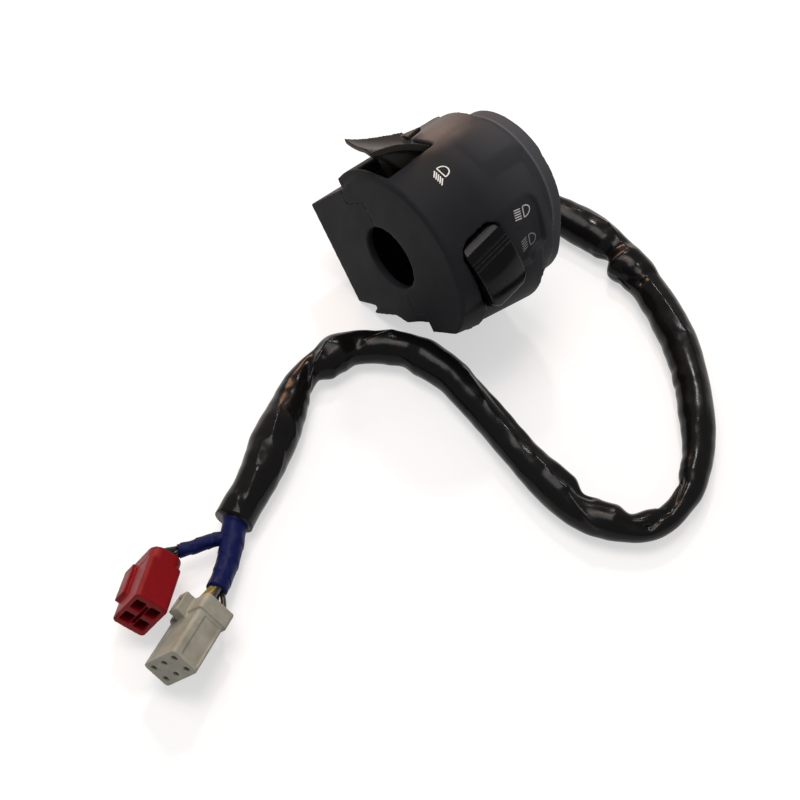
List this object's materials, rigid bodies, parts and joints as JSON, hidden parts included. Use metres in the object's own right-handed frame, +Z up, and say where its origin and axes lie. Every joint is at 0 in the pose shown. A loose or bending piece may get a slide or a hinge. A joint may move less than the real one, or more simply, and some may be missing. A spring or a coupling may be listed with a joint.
{
  "type": "handlebar switch cluster",
  "caption": "Left handlebar switch cluster: two-shell clamp housing with a thumb dimmer rocker and a finger pass-light trigger, on a sleeved wiring harness with red and white connectors.",
  "frame": {"origin": "handlebar axis at the outboard end face of the housing", "axes": "+X along the handlebar, inboard; +Z up as the cluster lies on a table; +Y completes the frame"},
  "size_m": [0.2205, 0.1598, 0.0742],
  "materials": {
    "housing": "fine matt texture",
    "rocker": "polished",
    "lever": "satin",
    "steel": "zinc plated",
    "brass": "plain",
    "copper": "plain copper alloy",
    "phenolic": "moulded",
    "acetal": "smooth",
    "grommet": "matt",
    "sleeve": "glossy soft vinyl",
    "tape": "wound vinyl tape",
    "red_nylon": "moulded",
    "white_nylon": "moulded",
    "lead_red": "extruded",
    "lead_black": "extruded",
    "lead_yellow": "extruded"
  },
  "bodies": {
    "housing": {"rear_shell": "housing", "front_shell": "housing", "clamp_screws": "steel", "screw_inserts": "brass", "rocker_pin": "steel", "dimmer_base": "phenolic", "base_screws": "steel", "feed_post": "brass", "beam_contacts": "brass", "trigger_pin": "steel", "trigger_spring": "steel", "pass_base": "phenolic", "pass_contacts": "brass", "pass_screw": "steel", "cable_grommet": "grommet", "switch_leads": "lead_red", "harness_sleeve": "sleeve", "blue_trunk": "tape", "blue_branch": "tape", "red_connector": "red_nylon", "red_terminals": "brass", "red_leads": "lead_black", "white_connector": "white_nylon", "white_terminals": "brass", "white_leads": "lead_yellow"},
    "rocker": {"dimmer_rocker": "rocker", "detent_plunger": "acetal", "detent_spring": "steel"},
    "bridge": {"contact_bridge": "copper"},
    "trigger": {"pass_trigger": "lever", "pass_plate": "copper"}
  },
  "joints": [
    {"name": "rocker_pivot", "type": "hinge", "parent": "housing", "child": "rocker", "pos_m": [0.0145, -0.02611, 0.01094], "axis": [0.9744, 0.0784, 0.2108], "range_deg": [0, 16]},
    {"name": "bridge_pivot", "type": "hinge", "parent": "housing", "child": "bridge", "pos_m": [0.0145, -0.02152, 0.00924], "axis": [0.9744, 0.0784, 0.2108], "range_deg": [-16, 0]},
    {"name": "trigger_pivot", "type": "hinge", "parent": "housing", "child": "trigger", "pos_m": [0.0236, 0.00704, 0.02355], "axis": [0, -0.8796, 0.4756], "range_deg": [0, 12], "stiffness_Nm_per_rad": 0.25, "springref_deg": -5.73, "deforming": ["trigger_spring"]}
  ],
  "couplings": [
    {"joint": "bridge_pivot", "follows": "rocker_pivot", "ratio": -1}
  ]
}
